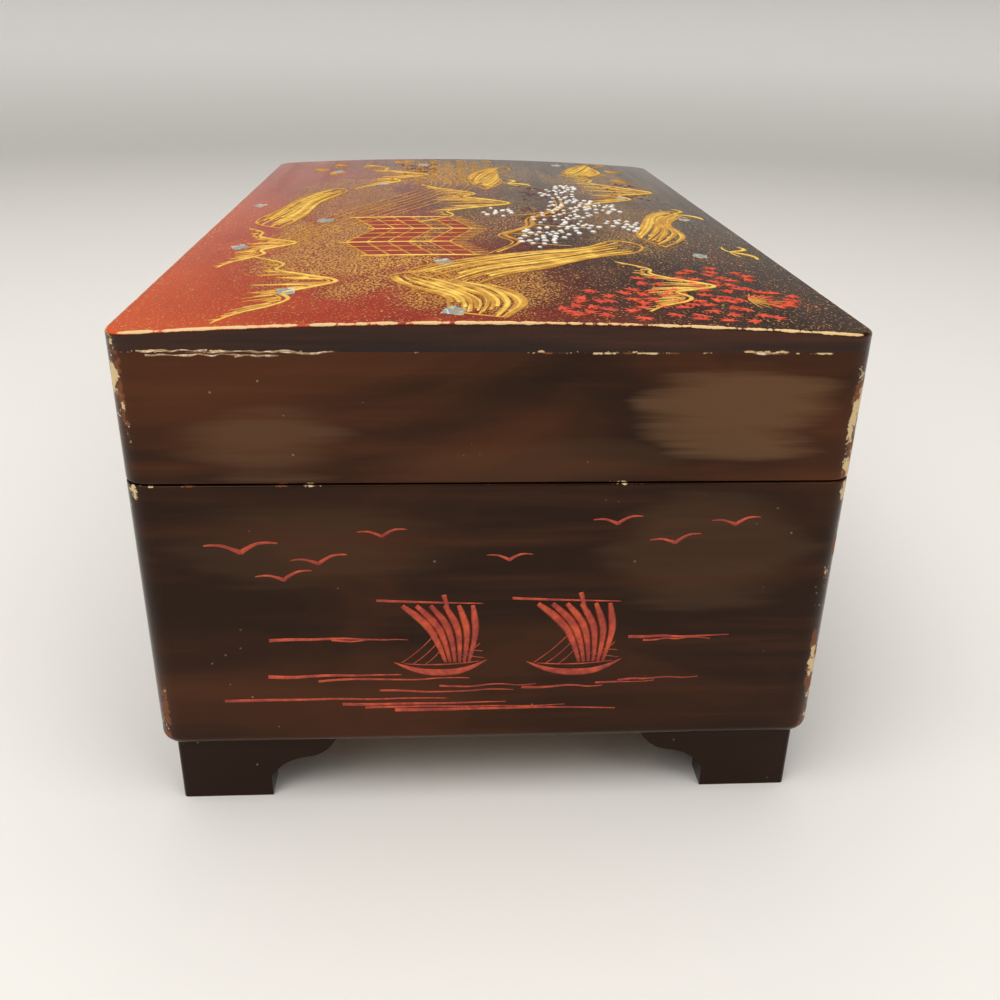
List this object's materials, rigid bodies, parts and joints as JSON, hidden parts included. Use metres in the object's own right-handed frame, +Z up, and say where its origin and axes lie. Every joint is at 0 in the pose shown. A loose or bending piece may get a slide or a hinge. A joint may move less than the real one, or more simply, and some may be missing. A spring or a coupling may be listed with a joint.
{
  "type": "musical jewelry box",
  "caption": "Lacquered wooden jewelry box on bracket feet, with a hinged mirrored lid, lined compartments, a drawer and a wind-up musical movement.",
  "frame": {"origin": "on the ground, under the middle of the box", "axes": "+Z up; +X towards the right-hand end, which the picture shows; -Y towards the front, where the drawer opens; the lid is hinged on the +Y side"},
  "size_m": [0.304, 0.1882, 0.1386],
  "materials": {
    "lacquer": "very dark brown high-gloss lacquer over wood, worn pale at the corners",
    "lid_picture": "gloss lacquer, red shading to dark brown, with gold, white and red painted decoration",
    "plywood": "bare plywood",
    "pine": "planed softwood",
    "velvet": "short red velvet on card",
    "velvet_pad": "short red velvet over wadding",
    "satin": "red satin on card",
    "gilt_beading": "gilt moulding",
    "mirror": "silvered plate",
    "clear_pane": "clear polished",
    "striker_wood": "painted wood",
    "brass": "polished, lightly tarnished",
    "bedplate_metal": "die-cast zinc, bright",
    "steel": "bright steel"
  },
  "bodies": {
    "case": {"back_panel": "lacquer", "base_rail": "lacquer", "bedplate": "bedplate_metal", "bottom_board": "plywood", "chamber_wall": "plywood", "comb": "steel", "drawer_runners": "pine", "feet_back": "lacquer", "feet_front": "lacquer", "floor_pads": "velvet_pad", "front_panel": "lacquer", "governor_bracket": "bedplate_metal", "hinge_body_leaves": "brass", "hinge_pins": "brass", "left_end_panel": "lacquer", "movement_screws": "steel", "partition_back": "velvet", "partition_left": "velvet", "partition_middle": "velvet", "partition_well": "velvet", "right_end_panel": "lacquer", "ring_rolls": "velvet_pad", "shelf": "plywood", "stop_guide": "steel", "stop_spring": "steel", "wall_lining": "velvet", "window_frame": "velvet", "window_pane": "clear_pane"},
    "lid": {"lid_right_board": "lacquer", "lid_left_board": "lacquer", "lid_front_board": "lacquer", "lid_back_board": "lacquer", "lid_board": "lid_picture", "lid_mirror": "mirror", "mirror_beading": "gilt_beading", "lid_lining": "satin", "lid_striker": "striker_wood", "hinge_lid_leaves": "brass"},
    "drawer": {"drawer_front": "lacquer", "drawer_sides": "pine", "drawer_back": "pine", "drawer_bottom": "plywood", "drawer_pad": "velvet_pad", "pull_plate": "brass"},
    "bail": {"drawer_bail": "brass"},
    "barrel": {"spring_barrel": "brass", "barrel_cover": "brass", "mainspring": "steel"},
    "cylinder": {"music_cylinder": "brass", "cylinder_arbor": "steel", "cylinder_pinion": "steel", "cylinder_wheel": "brass"},
    "governor": {"governor_pinion": "steel", "governor_fly": "brass"},
    "key": {"winding_arbor": "steel", "winding_key": "steel"},
    "stop": {"stop_rod": "steel"}
  },
  "joints": [
    {"name": "lid_hinge", "type": "hinge", "parent": "case", "child": "lid", "pos_m": [0, 0.0922, 0.0982], "axis": [-1, 0, 0], "range_deg": [0, 100]},
    {"name": "drawer_slide", "type": "slide", "parent": "case", "child": "drawer", "axis": [0, -1, 0], "range_m": [0, 0.08]},
    {"name": "bail_swing", "type": "hinge", "parent": "drawer", "child": "bail", "pos_m": [0, -0.0922, 0.046], "axis": [-1, 0, 0], "range_deg": [0, 95]},
    {"name": "barrel_turn", "type": "hinge", "parent": "case", "child": "barrel", "pos_m": [-0.1228, 0.054, 0.036], "axis": [0, 0, 1], "continuous": true},
    {"name": "cylinder_turn", "type": "hinge", "parent": "case", "child": "cylinder", "pos_m": [-0.1, 0.054, 0.04834], "axis": [1, 0, 0], "continuous": true},
    {"name": "governor_turn", "type": "hinge", "parent": "case", "child": "governor", "pos_m": [-0.08, 0.064, 0.04834], "axis": [1, 0, 0], "continuous": true},
    {"name": "key_turn", "type": "hinge", "parent": "case", "child": "key", "pos_m": [-0.1228, 0.054, 0.015], "axis": [0, 0, 1], "continuous": true},
    {"name": "stop_slide", "type": "slide", "parent": "case", "child": "stop", "axis": [0, 0, 1], "range_m": [0, 0.003]}
  ],
  "couplings": [
    {"joint": "cylinder_turn", "follows": "barrel_turn", "ratio": 2},
    {"joint": "governor_turn", "follows": "barrel_turn", "ratio": -6},
    {"joint": "stop_slide", "follows": "lid_hinge", "m_per_rad": 0.0017}
  ]
}
